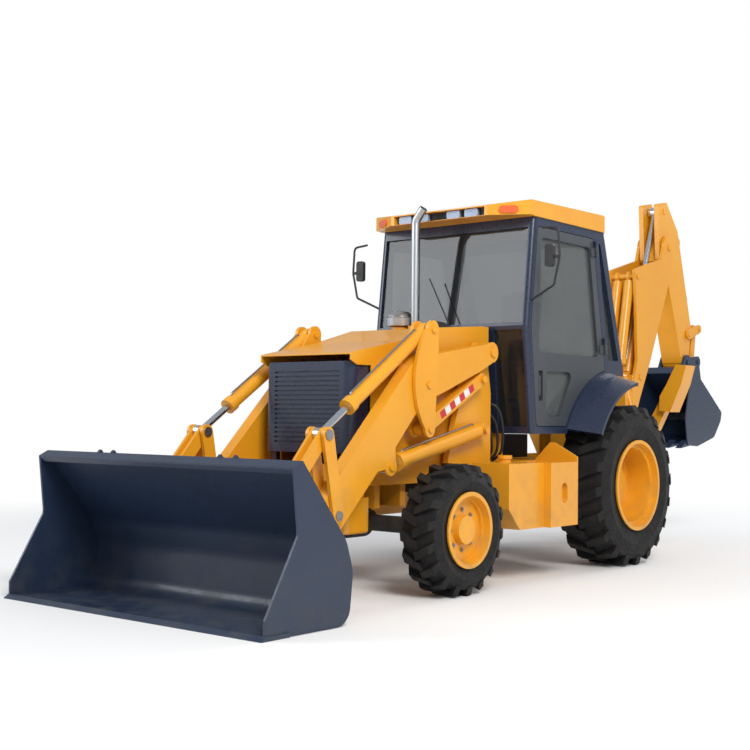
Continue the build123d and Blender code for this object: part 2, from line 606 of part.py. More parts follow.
tank_side = outline([(590, 545), (590, 868), (1060, 868), (1060, 392), (735, 392)])
tank = across(tank_side, box_inner_x, 940)
cover_side = outline([(1060, 392), (1060, 868), (1450, 868), (1450, 392)])
cover = across(cover_side, box_inner_x, 1000)
slot = Pos(1255, 640) * Rot(0, 0, 90) * SlotOverall(150, 84)
cover -= across(slot, 960, 1001)
shield = lengthwise(outline([(box_inner_x, 868), (760, 1010), (800, 1010), (1000, 905), (1000, 868)]), 1436, 1450)
step_box = tank + cover + shield
step_box -= block(640, 980, 1080, 1420, 780, 869) - block(640, 980, 1080, 1420, 700, 780)
filler = Pos(700, 900, 868) * Cylinder(45, 60) + Pos(700, 900, 905) * Cylinder(54, 26)
nodes["step_boxes"] = both(step_box + filler)

# loader linkage

arm_in = loader_plane_x - arm_width / 2
arm_out = loader_plane_x + arm_width / 2
inner_plate = (arm_in - side_gap - side_plate, arm_in - side_gap)
outer_plate = (arm_out + side_gap, arm_out + side_gap + side_plate)

arm_face = make_face(Polyline(
    (-1290, 352), (-1000, 648), (-859, 814), (-119, 1553), (10, 1632), (175, 1640), (790, 1738), (850, 1752),
    (900, 1615), (715, 1534), (300, 1385), (127, 1328), (-77, 1202), (-283, 991), (-276, 862),
    (-390, 845), (-471, 831), (-825, 486), (-1000, 360), (-1190, 232), close=True))
arm_face = fillet(arm_face.vertices().sort_by(Axis.X)[3:-3], 12)
arm_face += disc(bucket_pivot, 82) + disc(arm_pivot, 76) + disc(lift_lug, 62) + disc(lever_pivot, 60)
arm = across(arm_face, arm_in, arm_out)
arm -= across(disc(lift_lug, 92) + disc((lift_lug[0] + 120, lift_lug[1] + 20), 92), loader_plane_x - lift_pocket,
              loader_plane_x + lift_pocket)
arm -= pin(arm_pivot, 0, 900, main_pin_radius + 8 + pin_gap)
arm -= pin(bucket_pivot, 0, 900, main_pin_radius + pin_gap)
arm -= pin(guide_pivot, 0, 900, link_pin_radius + pin_gap)
for x0, x1 in ((arm_in - 16, loader_plane_x - lift_pocket), (loader_plane_x + lift_pocket, arm_out + 16)):
    arm += pin(lift_lug, x0, x1, main_pin_radius)
arm += pin(lever_pivot, inner_plate[0] - 12, outer_plate[1] + 12, main_pin_radius)
tube_y = -712
tube_z = 708
cross_tube = across(disc((tube_y, tube_z), 75), 0, arm_in)
nodes["loader_arms"] = both(arm) + cross_tube + mirror(cross_tube, about=Plane.YZ)

lever_face = make_face(
    ThreePointArc((35, 1815), (-106, 1400), (15, 1105)) + Polyline((15, 1105), (115, 1105), (155, 1600), (155, 1815),
                                                                 (35, 1815)))
lever_face += disc(lever_top, 62) + disc(lever_bottom, 55)
lever = across(lever_face, *inner_plate) + across(lever_face, *outer_plate)
lever -= pin(lever_pivot, 0, 900, main_pin_radius + pin_gap)
lever += pin(lever_top, inner_plate[0] - 12, outer_plate[1] + 12, main_pin_radius)
# the link's eye turns between the lever's plates on two short pins, open in the middle
for x0, x1 in ((inner_plate[0] - 12, inner_plate[1]), (outer_plate[0], outer_plate[1] + 12)):
    lever += pin(lever_bottom, x0, x1, main_pin_radius - 4)
nodes["levelling_levers"] = both(lever)

level_link = across(bar(link_pivot, lever_bottom, 46, 46), loader_plane_x - 35, loader_plane_x + 35)
level_link -= pin(link_pivot, 0, 900, main_pin_radius + pin_gap)
nodes["levelling_links"] = both(level_link)

guide_face = bar(guide_top, guide_pivot, 50, 46)
guide = across(guide_face, *inner_plate) + across(guide_face, *outer_plate)
guide -= pin(guide_pivot, 0, 900, link_pin_radius + pin_gap)
guide -= pin(guide_top, 0, 900, link_pin_radius + pin_gap)
nodes["guide_links"] = both(guide)
guide_pin = pin(guide_pivot, inner_plate[0] - 10, outer_plate[1] + 10, link_pin_radius)
guide_pin += pin(guide_pivot, outer_plate[1] + 1, outer_plate[1] + 10, link_pin_radius + 12)
guide_pin += pin(guide_pivot, inner_plate[0] - 10, inner_plate[0] - 1, link_pin_radius + 12)
shaft_end = inner_plate[0] - 10


def cross_shaft(point, outer, inner):
    """Tube between the two loader arms, closed at both ends."""
    tube = pin(point, -shaft_end, shaft_end, outer)
    return tube - pin(point, side_plate - shaft_end, shaft_end - side_plate, inner)


nodes["guide_link_pins"] = guide_pin + mirror(guide_pin, about=Plane.YZ) + cross_shaft(guide_pivot, *guide_shaft)

bucket_link_face = bar(guide_top, bucket_lug, 46, 46)
link_plate = 22.0
bucket_link = across(bucket_link_face, arm_in + 1, arm_in + 1 + link_plate)
bucket_link += across(bucket_link_face, arm_out - 1 - link_plate, arm_out - 1)
web_mid = ((guide_top[0] + bucket_lug[0]) / 2, (guide_top[1] + bucket_lug[1]) / 2)
bucket_link += across(disc(web_mid, 30), arm_in + 1, arm_out - 1)
bucket_link += across(disc(bucket_lug, 34), arm_in + 1, arm_out - 1)
bucket_link -= pin(guide_top, 0, 900, link_pin_radius + pin_gap)
nodes["bucket_links"] = both(bucket_link)
top_pin = pin(guide_top, inner_plate[0] - 10, inner_plate[1], link_pin_radius)
top_pin += pin(guide_top, outer_plate[0], outer_plate[1] + 10, link_pin_radius)
top_pin += pin(guide_top, outer_plate[1] + 1, outer_plate[1] + 10, link_pin_radius + 14)
top_pin += pin(guide_top, inner_plate[0] - 10, inner_plate[0] - 1, link_pin_radius + 14)
nodes["guide_top_pins"] = both(top_pin)

hinge_pin = pin(bucket_pivot, inner_plate[0] - 10, outer_plate[1] + 10, main_pin_radius)
hinge_pin += mirror(hinge_pin, about=Plane.YZ)
nodes["bucket_hinge_pins"] = hinge_pin + cross_shaft(bucket_pivot, *hinge_shaft)

# loader bucket: folded shell between two side plates
side_face = curved([
    (-2085, 4, 0), (-2085, 108, 0), (-1832, 543, 60), (-1873, 916, 0), (-1803, 951, 0), (-1429, 489, 200),
    (-1368, 310, 200), (-1400, 4, 110)])
half_bucket = bucket_width / 2
ear = make_face(Polyline(
    (-1430, 90), (-1235, 218), (-1160, 320), (-1332, 655), (-1395, 690), (-1500, 655), (-1565, 712), (-1790, 968),
    (-1820, 940), (-1640, 700), (-1460, 460), (-1400, 300), close=True))
ear += disc(bucket_pivot, 82) + disc(bucket_lug, 50)
ears = across(ear, *inner_plate) + across(ear, *outer_plate)
ears -= pin(bucket_pivot, 0, 900, main_pin_radius + pin_gap)
body = across(side_face, -half_bucket, half_bucket) + ears + mirror(ears, about=Plane.YZ)
cavity = offset(side_face, amount=-bucket_wall, kind=Kind.INTERSECTION)
mouth = make_face(Polyline(
    (-2300, 4 + bucket_wall), (-1600, 4 + bucket_wall), (-1600, 600), (-1851, 876), (-1893, 935), (-2300, 935),
    close=True))
body -= across(cavity + mouth, bucket_wall - half_bucket, half_bucket - bucket_wall)
body += across(outline([(-2120, 0), (-1900, 0), (-1900, 26), (-2080, 26)]), -half_bucket - 8, half_bucket + 8)
for x0, x1 in ((inner_plate[0] - 8, inner_plate[1]), (outer_plate[0], outer_plate[1] + 8)):
    lug_pin = pin(bucket_lug, x0, x1, link_pin_radius)
    body += lug_pin + mirror(lug_pin, about=Plane.YZ)
nodes["loader_bucket"] = body

tilt_barrel, tilt_rod = ram(
    side_point(lever_top, loader_plane_x), side_point(guide_top, loader_plane_x), (1, 0, 0),
    bore=890, engaged=625, barrel_radius=48, rod_radius=24, reach=1000, eye=46, width=44,
    base_pin=main_pin_radius, tip_pin=link_pin_radius)
tilt_rod += pin(guide_top, arm_in + 1, arm_out - 1, link_pin_radius)
tilt_rod += pin(guide_top, loader_plane_x - 20, loader_plane_x + 20, link_pin_radius + 1)
nodes["tilt_cylinder_barrels"] = both(tilt_barrel)
nodes["tilt_cylinder_rods"] = both(tilt_rod)
lift_barrel, lift_rod = ram(
    side_point(lift_base, loader_plane_x), side_point(lift_lug, loader_plane_x), (1, 0, 0),
    bore=960, engaged=900, barrel_radius=54, rod_radius=29, reach=1040, eye=50, width=46,
    base_pin=main_pin_radius, tip_pin=main_pin_radius)
nodes["lift_cylinder_barrels"] = both(lift_barrel)
nodes["lift_cylinder_rods"] = both(lift_rod)

# rear frame and backhoe

king_radius = 70.0
king_low = 640.0
king_high = 1000.0
lug_thick = 50.0
rear_plate = outline([
    (-630, 560), (630, 560), (630, 670), (540, 740), (440, 1040), (400, 1600), (270, 1600), (240, 1080), (-240, 1080), (-270, 1600),
    (-400, 1600), (-440, 1040), (-540, 740), (-630, 670)], 20)
for side in (1, -1):
    rear_plate -= disc((side * tie_down[0], tie_down[1]), tie_down_radius)
rear_frame = lengthwise(rear_plate, rail_rear_y, rail_rear_y + rear_plate_thick)
for z in (king_low - lug_thick - 1, king_high + 1):
    lug = make_face(Polyline((-230, rail_rear_y + 40), (230, rail_rear_y + 40), (90, swing_y), (-90, swing_y), close=True))
    lug += Pos(0, swing_y) * Circle(100)
    rear_frame += upright(lug, z, z + lug_thick)
rear_frame += Pos(0, swing_y, (king_low + king_high) / 2) * Cylinder(32, king_high - king_low + 2 * lug_thick + 30)
stay_reach = stabiliser_y + leg_half_depth + side_gap
for side in (1, -1):
    for y0 in (stabiliser_y - leg_half_depth - side_gap - 25, stay_reach):
        cheek = make_face(Polyline((side * 340, 590), (side * 500, 600), (side * 480, 780), (side * 340, 860), close=True))
        rear_frame += lengthwise(cheek, y0, y0 + 25)
        horn = make_face(Polyline((side * 270, 1400), (side * 390, 1400), (side * 390, 1600), (side * 270, 1600), close=True))
        rear_frame += lengthwise(horn, y0, y0 + 25)
    rear_frame += block(min(side * 300, side * 340), max(side * 300, side * 340), rail_rear_y + 40, stay_reach + 25, 590, 900)
    rear_frame += block(min(side * 262, side * 280), max(side * 262, side * 280), rail_rear_y + 40, stay_reach + 25, 1400, 1600)
    for (x, z) in (leg_pivot, leg_ram_base):
        rear_frame += Pos(side * x, (rail_rear_y + stay_reach + 35) / 2, z) * Rot(90, 0, 0) * Cylinder(
            24, stay_reach + 35 - rail_rear_y)
nodes["rear_frame"] = rear_frame

boom_in = boom_half_width - boom_plate
king = Pos(0, swing_y, (king_low + king_high) / 2) * Cylinder(king_radius, king_high - king_low)
cheek_face = make_face(Polyline(
    (swing_y - 40, king_low + 10), (swing_y + 200, 900), (boom_foot[0] + 60, boom_foot[1] - 60),
    (boom_foot[0] + 30, boom_foot[1] + 70), (boom_ram_foot[0] + 50, boom_ram_foot[1] + 20),
    (boom_ram_foot[0] - 40, boom_ram_foot[1] + 40), (swing_y + 70, 1180), (swing_y + 40, king_high - 10), close=True))
cheek_face += disc(boom_foot, 80) + disc(boom_ram_foot, 60)
cheek_out = boom_in - side_gap
cheek_thick = 25.0
king_cheek = across(cheek_face, cheek_out - cheek_thick, cheek_out)
king_cheek -= Pos(0, swing_y, 0) * Cylinder(125, 3000) - Pos(0, swing_y, (king_low + king_high) / 2) * Cylinder(
    200, king_high - king_low)
# room for the frame's upper lug when the post is turned to its stops
king_cheek -= upright(Pos(0, swing_y) * Circle(175), king_high, king_high + lug_thick + 2 * side_gap)
king += king_cheek + mirror(king_cheek, about=Plane.YZ)
king += block(-cheek_out, cheek_out, swing_y + 10, swing_y + 110, king_low + 60, king_high - 40)
king -= Pos(0, swing_y, 800) * Cylinder(32 + pin_gap, 800)
king += pin(boom_foot, -boom_half_width - 14, boom_half_width + 14, hoe_pin_radius)
nodes["king_post"] = king

boom_face = make_face(Polyline(
    (3795, 1110), (3960, 1500), (4050, 1760), (4022, 2380), (3990, 2640), (4160, 2690), (4560, 2800), (4640, 3015),
    (4840, 2880), (4690, 2499), (4300, 1726), (4110, 1400), (3925, 1035), close=True))
boom_face = fillet(boom_face.vertices().sort_by(Axis.X)[1:-1], 25)
boom_face += disc(boom_foot, 84) + disc(boom_nose, 118)
boom_solid = across(boom_face, -boom_half_width, boom_half_width)
boom_core = make_face(Polyline(
    (3700, 900), (3700, 1460), (3940, 1500), (3900, 3200), (5000, 3200), (5000, 2600), (4600, 2380), (4270, 1740), (4090, 1440),
    (4200, 900), close=True))
boom = boom_solid - across(boom_core, -boom_in, boom_in)
boom += across(outline([(4040, 1400), (4095, 1400), (4095, 1480), (4040, 1480)]), -boom_in, boom_in)
boom -= pin(boom_foot, -400, 400, hoe_pin_radius + pin_gap)
boom += pin(boom_lug, -boom_half_width - 12, boom_half_width + 12, hoe_pin_radius)
boom += pin(dipper_ram_base, -boom_half_width - 12, boom_half_width + 12, hoe_pin_radius)
boom += pin(boom_nose, -boom_half_width - 12, boom_half_width + 12, hoe_pin_radius + 8)
nodes["hoe_boom"] = boom

dipper_face = make_face(Polyline(
    (4563, 3361), (4749, 3401), (5005, 3134), (5322, 2160), (5262, 1790), (5110, 1760), (4990, 2090), (4805, 2550),
    (4597, 2803), close=True))
dipper_face = fillet(dipper_face.vertices(), 30)
dipper_face += disc(dipper_end, 74)
dipper = across(dipper_face, -dipper_half_width, dipper_half_width)
fork_half = 60.0
link_in = 40.0
link_out = 72.0
dipper -= across(outline([(4200, 2700), (4560, 2700), (4790, 3200), (4826, 3260), (4826, 3500), (4200, 3500)]),
                 -fork_half, fork_half)
dipper -= pin(boom_nose, -400, 400, hoe_pin_radius + 8 + pin_gap)
for side in (1, -1):
    dipper += pin(dipper_top, side * fork_half, side * (dipper_half_width + 10), hoe_pin_radius)
# hollow in the rear face for the bucket link when the bucket is tipped out
dipper -= across(outline([(5272, 1985), (5272, 2330), (5400, 2330), (5400, 1985)]),
                 -link_out - side_gap, link_out + side_gap)
ear_in = 46.0
ear_out = 70.0
for x0, x1 in ((-ear_out, -ear_in), (ear_in, ear_out)):
    dipper += across(make_face(Polyline((4960, 3120), (5080, 3080), (5130, 2990), (5045, 2940), close=True))
                     + disc(bucket_ram_base, 50), x0, x1)
dipper += pin(bucket_ram_base, -ear_out, ear_out, hoe_pin_radius - 4)
dipper += pin(tipping_pivot, -dipper_half_width - 34, dipper_half_width + 34, hoe_pin_radius - 4)
dipper -= pin(dipper_end, -400, 400, hoe_pin_radius + pin_gap)
nodes["hoe_dipper"] = dipper

tip_in = dipper_half_width + side_gap
tip_face = bar(tipping_pivot, tipping_end, 48, 44)
tipping = across(tip_face, tip_in, tip_in + 22)
tipping -= pin(tipping_pivot, -400, 400, hoe_pin_radius - 4 + pin_gap)
tipping = tipping + mirror(tipping, about=Plane.YZ)
for side in (1, -1):
    tipping += pin(tipping_end, side * link_in, side * (tip_in + 32), hoe_pin_radius - 4)
nodes["hoe_tipping_levers"] = tipping

hoe_link = across(bar(tipping_end, hoe_lug, 46, 46), link_in, link_out)
hoe_link += mirror(hoe_link, about=Plane.YZ)
hoe_mid = ((tipping_end[0] + hoe_lug[0]) / 2, (tipping_end[1] + hoe_lug[1]) / 2)
hoe_link += across(disc(hoe_mid, 28), -link_out, link_out)
hoe_link += across(disc(hoe_lug, 34), -link_out, link_out)
hoe_link -= pin(tipping_end, -400, 400, hoe_pin_radius - 4 + pin_gap)
nodes["hoe_bucket_link"] = hoe_link

hoe_wall = 12.0
hoe_side = curved([
    (4850, 940, 0), (4800, 1200, 0), (4900, 1560, 0), (4966, 1730, 0), (5666, 1272, 30), (5640, 1180, 50),
    (5480, 1010, 120), (5075, 920, 100)])
half_hoe = hoe_bucket_width / 2
hoe = across(hoe_side, -half_hoe, half_hoe)
hoe_cavity = offset(hoe_side, amount=-hoe_wall, kind=Kind.INTERSECTION)
hoe_mouth = make_face(Polyline((4500, 952), (4900, 952), (5050, 1500), (4990, 1640), (4930, 1675), (4500, 1675),
                               close=True))
hoe -= across(hoe_cavity + hoe_mouth, -half_hoe + hoe_wall, half_hoe - hoe_wall)
hanger = make_face(Polyline((5030, 1680), (5120, 1830), (5440, 1860), (5590, 1315), (5300, 1500), close=True))
hanger += disc(dipper_end, 74) + disc(hoe_lug, 60)
hanger_in = dipper_half_width + side_gap
for x0, x1 in ((-hanger_in - 26, -hanger_in), (hanger_in, hanger_in + 26)):
    hoe += across(hanger, x0, x1)
hoe += pin(dipper_end, -hanger_in - 36, hanger_in + 36, hoe_pin_radius)
for side in (1, -1):
    hoe += pin(hoe_lug, side * (link_out + 3), side * (hanger_in + 36), hoe_pin_radius - 4)
tooth_count = 5
tooth_pitch = (hoe_bucket_width - 90) / (tooth_count - 1)
for index in range(tooth_count):
    x = -half_hoe + 45 + index * tooth_pitch
    hoe += across(make_face(Polyline((4900, 925), (4720, 905), (4860, 985), (4920, 965), close=True)), x - 32, x + 32)
nodes["hoe_bucket"] = hoe

boom_barrel, boom_rod = ram(
    side_point(boom_lug, boom_ram_x), side_point(boom_ram_foot, boom_ram_x), (1, 0, 0), bore=800, engaged=620,
    barrel_radius=46, rod_radius=25, reach=880, eye=48, width=30, base_pin=hoe_pin_radius, tip_pin=hoe_pin_radius)
nodes["boom_cylinder_barrel"] = both(boom_barrel)
nodes["boom_cylinder_rod"] = both(boom_rod)
dipper_barrel, dipper_rod = ram(
    side_point(dipper_ram_base, 0), side_point(dipper_top, 0), (1, 0, 0), bore=1030, engaged=400, barrel_radius=50, rod_radius=27,
    reach=1100, eye=52, width=100, base_pin=hoe_pin_radius, tip_pin=hoe_pin_radius)
nodes["dipper_cylinder_barrel"] = dipper_barrel
nodes["dipper_cylinder_rod"] = dipper_rod
curl_barrel, curl_rod = ram(
    side_point(bucket_ram_base, 0), side_point(tipping_end, 0), (1, 0, 0), bore=580, engaged=280, barrel_radius=44, rod_radius=24,
    reach=640, eye=46, width=70, base_pin=hoe_pin_radius - 4, tip_pin=hoe_pin_radius - 4)
nodes["hoe_bucket_cylinder_barrel"] = curl_barrel
nodes["hoe_bucket_cylinder_rod"] = curl_rod

# stabilisers

leg_face = bar(leg_pivot, leg_end, 60, 44)
leg = lengthwise(leg_face, stabiliser_y - leg_half_depth, stabiliser_y + leg_half_depth)
leg_slot = bar(leg_lug, (leg_ram_base[0] + 40, leg_ram_base[1] - 200), 62, 62)
leg_slot += disc((leg_lug[0] - 38, leg_lug[1] - 60), 70)
leg -= lengthwise(leg_slot, stabiliser_y - 27, stabiliser_y + 27)
leg -= Pos(leg_pivot[0], stabiliser_y, leg_pivot[1]) * Rot(90, 0, 0) * Cylinder(24 + pin_gap, 400)
pad_face = make_face(Polyline(
    (892, 1680), (990, 1673), (945, 1506), (839, 1259), (732, 1270), (740, 1400), (800, 1500), close=True))
pad = lengthwise(pad_face, stabiliser_y - pad_half_depth, stabiliser_y + pad_half_depth)
pad -= Pos(-pad_sole, 0, 8) * lengthwise(pad_face, stabiliser_y - pad_half_depth + pad_sole,
                                         stabiliser_y + pad_half_depth - pad_sole)
leg += pad
leg_barrel, leg_rod = ram(
    (leg_ram_base[0], stabiliser_y, leg_ram_base[1]), (leg_lug[0], stabiliser_y, leg_lug[1]), (0, 1, 0), bore=490,
    engaged=470, barrel_radius=42, rod_radius=22, reach=540, eye=42, width=50, base_pin=24, tip_pin=20)
for hand, side in (("left", 1), ("right", -1)):
    for part_name, piece in (("leg", leg), ("barrel", leg_barrel), ("rod", leg_rod)):
        nodes[f"stabiliser_{part_name}_{hand}"] = piece if side > 0 else mirror(piece, about=Plane.YZ)

# write

for name, shape in nodes.items():
    export_step(Pos(0, -middle_y, 0) * shape, f"parts/{name}.step")
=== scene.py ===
import bpy
import bmesh
from math import pi, radians
from mathutils import Matrix, Vector


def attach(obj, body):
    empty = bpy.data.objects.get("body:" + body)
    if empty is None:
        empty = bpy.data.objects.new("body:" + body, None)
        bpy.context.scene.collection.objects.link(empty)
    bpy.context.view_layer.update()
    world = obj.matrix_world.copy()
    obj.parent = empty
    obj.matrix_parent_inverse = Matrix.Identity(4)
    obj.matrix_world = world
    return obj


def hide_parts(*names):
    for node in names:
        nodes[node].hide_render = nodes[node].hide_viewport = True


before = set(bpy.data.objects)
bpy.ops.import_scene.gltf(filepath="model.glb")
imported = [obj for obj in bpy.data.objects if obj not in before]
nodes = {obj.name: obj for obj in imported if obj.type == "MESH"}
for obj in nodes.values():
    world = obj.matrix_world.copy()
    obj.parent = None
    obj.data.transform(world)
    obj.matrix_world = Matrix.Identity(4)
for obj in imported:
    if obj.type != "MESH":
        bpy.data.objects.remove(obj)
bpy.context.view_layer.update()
print("frame loaded:", len(nodes), "nodes")

middleY = 1.7706  # metres from the front axle to the origin


def at(x, behind, up):  # millimetres: to the left, behind the front axle, above the ground
    return Vector((x / 1000, behind / 1000 - middleY, up / 1000))


# camera: the front left corner, low, seen through a moderate lens
cameraValues = {"place": (5768.6, -6814.1, 1206.7), "yaw": 39.338, "pitch": 1.853, "roll": 0.58,
                "lens": 59.33, "sensor": 36, "far": 200}


def makeCamera(values):
    data = bpy.data.cameras.new("camera")
    data.lens = values["lens"]
    data.sensor_width = values["sensor"]
    camera = bpy.data.objects.new("camera", data)
    bpy.context.scene.collection.objects.link(camera)
    turn = Matrix.Rotation(radians(values["yaw"]), 4, "Z")
    tip = Matrix.Rotation(radians(90 + values["pitch"]), 4, "X")
    lean = Matrix.Rotation(radians(values["roll"]), 4, "Z")
    camera.matrix_world = Matrix.Translation(at(*values["place"])) @ turn @ tip @ lean
    data.clip_end = values["far"]
    bpy.context.scene.camera = camera


makeCamera(cameraValues)

# a small kit for node trees


class Tree:
    def __init__(self, name):
        self.material = bpy.data.materials.new(name)
        self.material.use_nodes = True
        self.nodes = self.material.node_tree.nodes
        self.links = self.material.node_tree.links
        self.shader = self.nodes["Principled BSDF"]
        self.place = self.nodes.new("ShaderNodeTexCoord").outputs["Object"]

    def link(self, source, target):
        self.links.new(source, target)

    def noise(self, scale, detail=3.0, rough=0.55, stretch=(1, 1, 1)):
        node = self.nodes.new("ShaderNodeTexNoise")
        node.inputs["Scale"].default_value = scale
        node.inputs["Detail"].default_value = detail
        node.inputs["Roughness"].default_value = rough
        if stretch != (1, 1, 1):
            turn = self.nodes.new("ShaderNodeMapping")
            turn.inputs["Scale"].default_value = stretch
            self.link(self.place, turn.inputs["Vector"])
            self.link(turn.outputs["Vector"], node.inputs["Vector"])
        else:
            self.link(self.place, node.inputs["Vector"])
        return node.outputs["Fac"]

    def step(self, source, low, high, start=0.0, end=1.0):
        node = self.nodes.new("ShaderNodeMapRange")
        for socket, value in (("From Min", low), ("From Max", high), ("To Min", start), ("To Max", end)):
            node.inputs[socket].default_value = value
        self.link(source, node.inputs["Value"])
        return node.outputs["Result"]

    def math(self, kind, a, b):
        node = self.nodes.new("ShaderNodeMath")
        node.operation = kind
        for socket, value in ((node.inputs[0], a), (node.inputs[1], b)):
            if hasattr(value, "is_linked"):
                self.link(value, socket)
            else:
                socket.default_value = value
        return node.outputs[0]

    def mix(self, share, a, b):
        node = self.nodes.new("ShaderNodeMix")
        node.data_type = "RGBA"
        for socket, value in ((node.inputs["Factor"], share), (node.inputs[6], a), (node.inputs[7], b)):
            if hasattr(value, "is_linked"):
                self.link(value, socket)
            elif hasattr(value, "__len__"):
                socket.default_value = (*value, 1)
            else:
                socket.default_value = value
        return node.outputs[2]

    def bump(self, height, strength, distance):
        node = self.nodes.new("ShaderNodeBump")
        node.inputs["Strength"].default_value = strength
        node.inputs["Distance"].default_value = distance
        self.link(height, node.inputs["Height"])
        self.link(node.outputs["Normal"], self.shader.inputs["Normal"])

    def height(self):
        part = self.nodes.new("ShaderNodeSeparateXYZ")
        self.link(self.place, part.inputs[0])
        return part.outputs["Z"]


def paint(name, color, shade, dust, rough=0.34, metal=0.0, peel=0.06, dustTop=1.0, coat=0.25, worn=0.0):
    tree = Tree(name)
    cloud = tree.noise(1.7, 4)
    fine = tree.noise(38, 3)
    base = tree.mix(tree.step(cloud, 0.35, 0.7), color, shade)
    low = tree.step(tree.height(), dustTop, 0.0, 0.0, 0.55)
    grime = tree.math("MULTIPLY", low, tree.step(tree.noise(6, 5), 0.42, 0.68))
    base = tree.mix(grime, base, dust)
    if worn:
        scuff = tree.step(tree.noise(21, 6, 0.7), 0.66, 0.74, 0.0, worn)
        base = tree.mix(scuff, base, tuple(0.55 * c + 0.06 for c in color))
    tree.link(base, tree.shader.inputs["Base Color"])
    tree.link(tree.math("ADD", tree.step(fine, 0.3, 0.7, rough - 0.05, rough + 0.08),
                        tree.math("MULTIPLY", grime, 0.4)), tree.shader.inputs["Roughness"])
    tree.shader.inputs["Metallic"].default_value = metal
    tree.shader.inputs["Coat Weight"].default_value = coat
    tree.shader.inputs["Coat Roughness"].default_value = 0.12
    tree.bump(tree.noise(150, 2), peel, 0.0006)
    return tree.material


def rubber(name, color, dust):
    tree = Tree(name)
    grime = tree.step(tree.noise(7, 6, 0.65), 0.45, 0.75, 0.0, 0.5)
    tree.link(tree.mix(grime, color, dust), tree.shader.inputs["Base Color"])
    tree.link(tree.step(tree.noise(30, 3), 0.3, 0.7, 0.62, 0.85), tree.shader.inputs["Roughness"])
    tree.shader.inputs["Specular IOR Level"].default_value = 0.35
    tree.bump(tree.noise(90, 5, 0.7), 0.25, 0.0012)
    return tree.material


def metal(name, color, rough, grain=(1, 1, 1), scale=60, bump=0.05):
    tree = Tree(name)
    streak = tree.noise(scale, 4, 0.6, grain)
    tree.link(tree.mix(tree.step(streak, 0.3, 0.7), color, tuple(0.8 * c for c in color)),
              tree.shader.inputs["Base Color"])
    tree.link(tree.step(streak, 0.3, 0.7, rough * 0.8, rough * 1.3), tree.shader.inputs["Roughness"])
    tree.shader.inputs["Metallic"].default_value = 1
    tree.bump(streak, bump, 0.0004)
    return tree.material


def plastic(name, color, rough=0.55, grainScale=320, depth=0.25):
    tree = Tree(name)
    tree.link(tree.mix(tree.step(tree.noise(4, 3), 0.3, 0.7), color, tuple(1.5 * c for c in color)),
              tree.shader.inputs["Base Color"])
    tree.link(tree.step(tree.noise(14, 2), 0.3, 0.7, rough - 0.06, rough + 0.08),
              tree.shader.inputs["Roughness"])
    tree.bump(tree.noise(grainScale, 2), depth, 0.0005)
    return tree.material


def glazing(name, color, alpha, rough=0.03):
    tree = Tree(name)
    smear = tree.noise(5, 4)
    tree.link(tree.mix(tree.step(smear, 0.3, 0.7), color, tuple(0.85 * c for c in color)),
              tree.shader.inputs["Base Color"])
    tree.link(tree.step(smear, 0.4, 0.7, rough, rough + 0.05), tree.shader.inputs["Roughness"])
    tree.shader.inputs["Alpha"].default_value = alpha
    tree.shader.inputs["IOR"].default_value = 1.45
    tree.shader.inputs["Coat Weight"].default_value = 0.6
    return tree.material


def glowless(name, color, rough=0.15, cells=90):
    tree = Tree(name)
    cell = tree.nodes.new("ShaderNodeTexVoronoi")
    cell.inputs["Scale"].default_value = cells
    tree.link(tree.place, cell.inputs["Vector"])
    tree.link(tree.mix(cell.outputs["Distance"], color, tuple(min(1, 1.3 * c + 0.05) for c in color)),
              tree.shader.inputs["Base Color"])
    tree.link(tree.step(tree.noise(8), 0.3, 0.7, rough, rough + 0.1), tree.shader.inputs["Roughness"])
    tree.bump(cell.outputs["Distance"], 0.4, 0.002)
    return tree.material


yellow = paint("chassis yellow paint", (0.78, 0.345, 0.014), (0.73, 0.305, 0.011), (0.26, 0.17, 0.09))
navy = paint("bucket navy paint", (0.014, 0.028, 0.062), (0.011, 0.022, 0.050), (0.05, 0.055, 0.06),
             rough=0.40, worn=0.25, dustTop=0.5, coat=0.15)
cabNavy = paint("cab navy paint", (0.014, 0.024, 0.056), (0.011, 0.019, 0.046), (0.06, 0.06, 0.07), rough=0.3)
amber = glowless("amber lens", (0.60, 0.09, 0.012), 0.12, 120)
tapeRed = paint("red reflective tape", (0.55, 0.02, 0.02), (0.50, 0.02, 0.02), (0.3, 0.1, 0.08), rough=0.3)
tapeWhite = paint("white reflective tape", (0.78, 0.78, 0.76), (0.72, 0.72, 0.70), (0.4, 0.35, 0.3),
                  rough=0.3)
frameGrey = paint("door frame grey", (0.045, 0.050, 0.058), (0.035, 0.040, 0.047), (0.12, 0.12, 0.12),
                  rough=0.4)
blackPaint = paint("running gear black", (0.016, 0.016, 0.018), (0.024, 0.023, 0.022),
                   (0.16, 0.13, 0.10), rough=0.5, coat=0.0)
tyreRubber = rubber("tyre rubber", (0.008, 0.008, 0.009), (0.030, 0.026, 0.022))
chrome = metal("chromed rod", (0.72, 0.74, 0.78), 0.10, scale=200, bump=0.01)
pinSteel = metal("pin steel", (0.42, 0.41, 0.40), 0.32)
stackSteel = metal("exhaust steel", (0.55, 0.57, 0.60), 0.34, (1, 1, 0.08), 50)
darkPlastic = plastic("dark plastic", (0.012, 0.012, 0.014))
seatCloth = plastic("seat cloth", (0.020, 0.021, 0.024), 0.8, 700, 0.6)
cabGlass = glazing("cab glass", (0.020, 0.024, 0.027), 0.66)
doorGlass = glazing("door glass", (0.13, 0.145, 0.145), 0.52)
workLamp = glowless("work lamp lens", (0.22, 0.29, 0.42))

